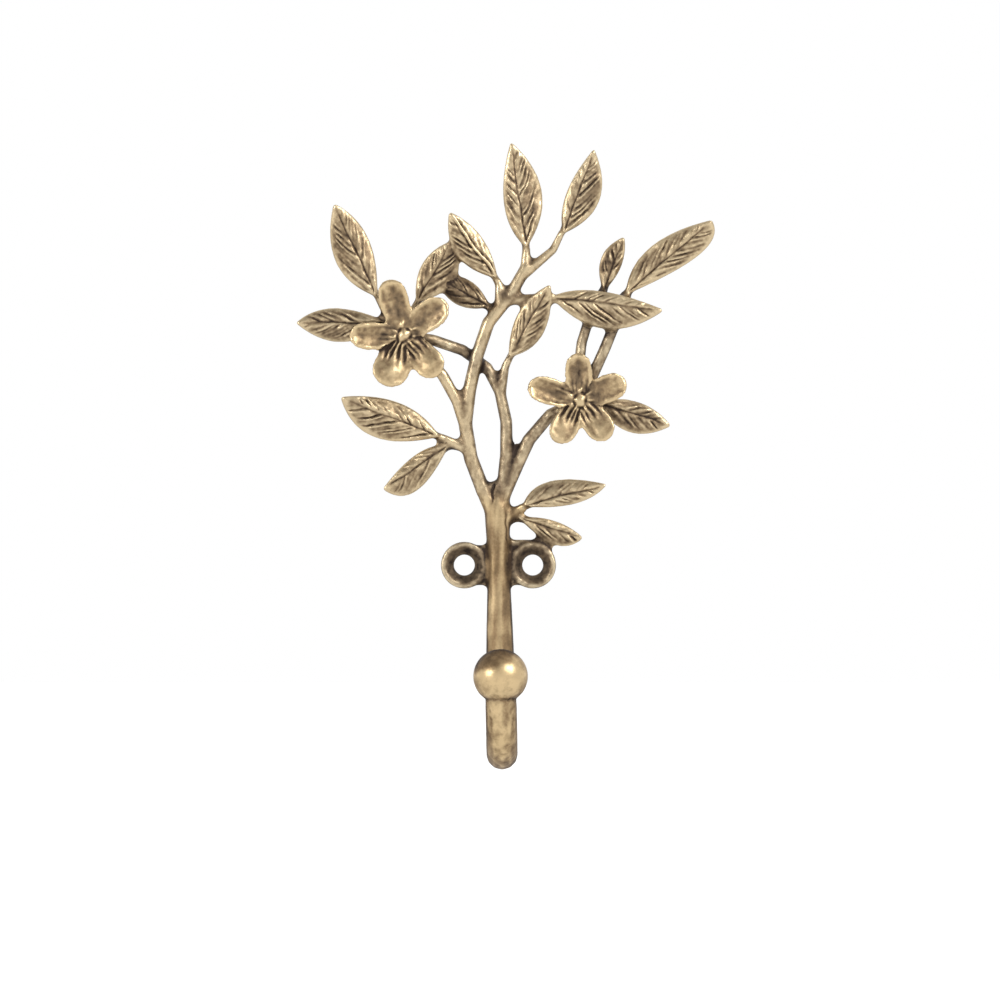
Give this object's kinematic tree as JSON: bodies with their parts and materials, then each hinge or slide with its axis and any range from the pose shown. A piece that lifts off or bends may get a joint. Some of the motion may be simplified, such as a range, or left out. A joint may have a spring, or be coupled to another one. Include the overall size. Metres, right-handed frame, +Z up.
{
  "type": "wall hook",
  "caption": "Cast brass wall hook shaped as a flowering branch, with a countersunk screw plate behind the trunk and a ball-ended arm bent forward at its foot.",
  "frame": {"origin": "midway between the two screw holes, on the back face that meets the wall", "axes": "+Z up along the trunk, -Y out from the wall to the front, +X to the right seen from the front"},
  "size_m": [0.0997, 0.0377, 0.1485],
  "materials": {
    "antique_brass": "antique, dark in the hollows and rubbed on the raised parts"
  },
  "bodies": {
    "root": {"hook_casting": "antique_brass"}
  },
  "joints": []
}
